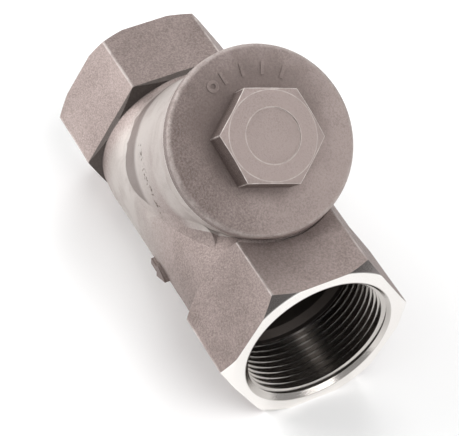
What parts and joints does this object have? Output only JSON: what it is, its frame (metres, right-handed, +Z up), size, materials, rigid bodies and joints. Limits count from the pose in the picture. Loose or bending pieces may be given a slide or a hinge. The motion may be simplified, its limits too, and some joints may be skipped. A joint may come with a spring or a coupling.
{
  "type": "y strainer",
  "caption": "Cast stainless Y strainer with female-threaded hexagon ends and a screwed branch cap that holds a removable cylindrical screen.",
  "frame": {"origin": "centre of the inlet port's face, on the pipe axis", "axes": "+X downstream along the pipe axis, +Z up, with the branch in the XZ plane and the bottom hexagon flats facing down"},
  "size_m": [0.122, 0.0636, 0.0938],
  "materials": {
    "cast_steel": "blasted",
    "gasket": "matte",
    "screen_steel": "satin"
  },
  "bodies": {
    "body": {"valve_body": "cast_steel"},
    "seal": {"cap_gasket": "gasket"},
    "cap": {"screen_cap": "cast_steel"},
    "screen": {"screen_sheet": "screen_steel", "screen_mesh": "screen_steel", "screen_seat_ring": "screen_steel", "screen_cap_ring": "screen_steel"}
  },
  "joints": [
    {"name": "cap_lift", "type": "slide", "parent": "body", "child": "seal", "axis": [0.6293, 0, 0.7771], "range_m": [0, 0.09]},
    {"name": "cap_turn", "type": "hinge", "parent": "seal", "child": "cap", "pos_m": [0.0416, 0, 0], "axis": [0.6293, 0, 0.7771], "range_deg": [0, 16200]},
    {"name": "screen_pull", "type": "slide", "parent": "body", "child": "screen", "axis": [0.6293, 0, 0.7771], "range_m": [0, 0.054]}
  ],
  "couplings": [
    {"joint": "cap_lift", "follows": "cap_turn", "m_per_rad": 0.00031831},
    {"joint": "screen_pull", "follows": "cap_turn", "m_per_rad": 0.00019099}
  ]
}
